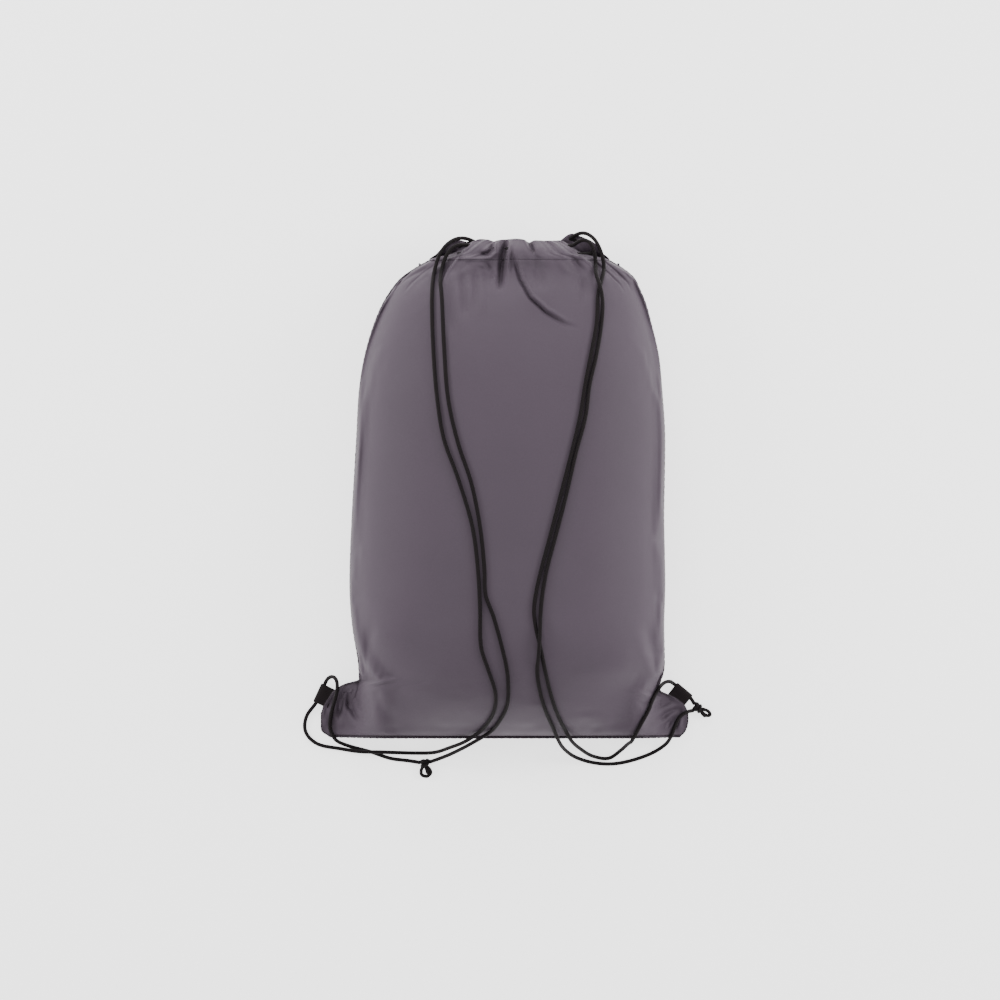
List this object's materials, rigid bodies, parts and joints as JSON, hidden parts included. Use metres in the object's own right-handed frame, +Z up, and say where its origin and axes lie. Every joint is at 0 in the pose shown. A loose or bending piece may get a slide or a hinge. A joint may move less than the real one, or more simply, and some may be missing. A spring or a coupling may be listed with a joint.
{
  "type": "drawstring shoe bag",
  "caption": "Filled drawstring shoe bag lying flat: stuffed fabric body, gathered channelled mouth, long cord loops led through webbing corner tabs and knotted.",
  "frame": {"origin": "centre of the bag's footprint, on the surface that it lies on, cords left out", "axes": "+Y from the bottom seam to the mouth, +Z up out of the back panel, +X to the right seen from above"},
  "size_m": [0.3739, 0.5, 0.1222],
  "materials": {
    "nylon": "fine woven nylon, soft sheen",
    "seam": "rolled fabric edge with thread",
    "thread": "stitched thread",
    "webbing": "ribbed webbing",
    "cord": "braided polyester cord"
  },
  "bodies": {
    "bag": {"back_panel": "nylon", "front_panel": "nylon", "front_hem": "nylon", "left_side_seam": "seam", "right_side_seam": "seam", "bottom_seam": "seam", "front_hem_stitch": "thread", "left_slit_bartack": "thread", "right_slit_bartack": "thread", "left_tab_stitch": "thread", "right_tab_stitch": "thread", "left_cord": "cord", "right_cord": "cord", "left_cord_front_run": "cord", "right_cord_front_run": "cord"},
    "upper_lip": {"back_hem": "nylon", "back_hem_stitch": "thread", "left_cord_back_run": "cord", "right_cord_back_run": "cord"},
    "left_corner_tab": {"left_tab": "webbing"},
    "right_corner_tab": {"right_tab": "webbing", "right_knot": "cord"},
    "left_cord_knot": {"left_knot": "cord"}
  },
  "joints": [
    {"name": "mouth_lift", "type": "hinge", "parent": "bag", "child": "upper_lip", "pos_m": [0, 0.2062, 0.07], "axis": [1, 0, 0], "range_deg": [0, 50], "deforming": ["left_cord", "right_cord", "left_cord_front_run", "right_cord_front_run"]},
    {"name": "left_tab_swing", "type": "hinge", "parent": "bag", "child": "left_corner_tab", "pos_m": [-0.1605, -0.1968, 0.0086], "axis": [0.4226, 0.9063, 0], "range_deg": [0, 65], "deforming": ["left_cord"]},
    {"name": "right_tab_swing", "type": "hinge", "parent": "bag", "child": "right_corner_tab", "pos_m": [0.16, -0.1975, 0.0086], "axis": [0.6018, -0.7986, 0], "range_deg": [0, 65], "deforming": ["right_cord"]},
    {"name": "left_knot_run", "type": "slide", "parent": "bag", "child": "left_cord_knot", "axis": [-1, 0, 0], "range_m": [-0.008, 0.018], "deforming": ["left_cord"]}
  ]
}
